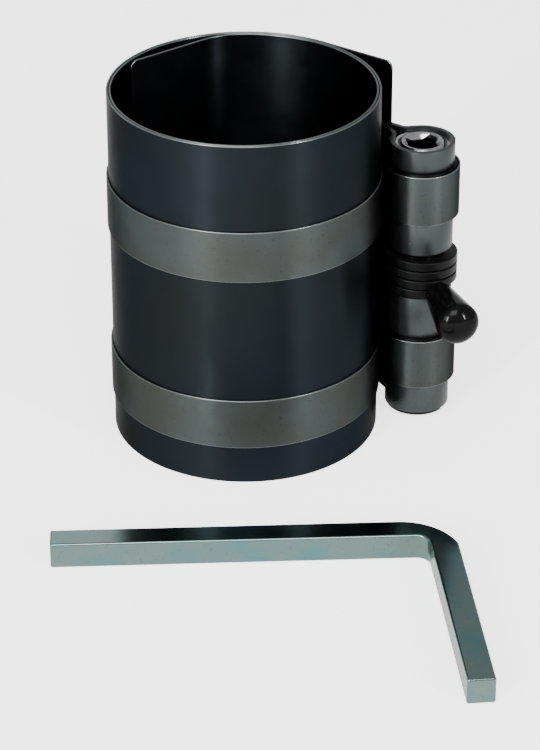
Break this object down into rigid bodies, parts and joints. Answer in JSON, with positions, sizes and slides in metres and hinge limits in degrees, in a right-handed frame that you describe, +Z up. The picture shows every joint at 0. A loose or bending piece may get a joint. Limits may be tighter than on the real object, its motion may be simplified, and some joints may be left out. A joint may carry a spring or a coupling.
{
  "type": "piston ring compressor",
  "caption": "Adjustable ring compressor: a rolled steel sleeve that two spindle-wound bands tighten round a piston, with a coil brake, a release lever and a separate square key.",
  "frame": {"origin": "On the axis of the sleeve's bore, at the sleeve's base, which stands on the bench.", "axes": "+Z up along the bore, +X from the bore towards the clamp, +Y to the back, where the sleeve's flange leaves."},
  "size_m": [0.1005, 0.1562, 0.0889],
  "materials": {
    "blued_steel": "blued spring steel, glossy",
    "band_steel": "rolled strip, satin",
    "bracket_steel": "pressed sheet, satin",
    "spindle_steel": "turned, bright",
    "rivet_steel": "satin",
    "spring_wire": "dark oiled wire",
    "grip_vinyl": "dipped vinyl, soft gloss",
    "zinc_plate": "bright zinc plate"
  },
  "bodies": {
    "clamp": {"sleeve": "blued_steel", "upper_band": "band_steel", "lower_band": "band_steel", "bracket": "bracket_steel", "bracket_rivets": "rivet_steel", "upper_band_rivets": "rivet_steel", "lower_band_rivets": "rivet_steel", "bottom_bush": "spindle_steel", "lower_mid_bush": "spindle_steel", "upper_mid_bush": "spindle_steel", "top_bush": "spindle_steel", "brake_spring": "spring_wire"},
    "spindle": {"spindle": "spindle_steel", "upper_band_winding": "band_steel", "lower_band_winding": "band_steel", "retaining_ring": "spring_wire"},
    "lever": {"release_lever": "spring_wire", "lever_grip": "grip_vinyl"},
    "key": {"key": "zinc_plate"}
  },
  "joints": [
    {"name": "spindle_turn", "type": "hinge", "parent": "clamp", "child": "spindle", "pos_m": [0.04249, 0.00472, 0.0366], "axis": [0, 0, 1], "range_deg": [-235, 1440]},
    {"name": "lever_push", "type": "hinge", "parent": "clamp", "child": "lever", "pos_m": [0.04249, 0.00472, 0.0356], "axis": [0, 0, 1], "range_deg": [-22, 0], "stiffness_Nm_per_rad": 0.02, "deforming": ["brake_spring"]},
    {"name": "key_lift", "type": "slide", "parent": "clamp", "child": "key", "axis": [0, 0, 1], "range_m": [0, 0.12]}
  ]
}
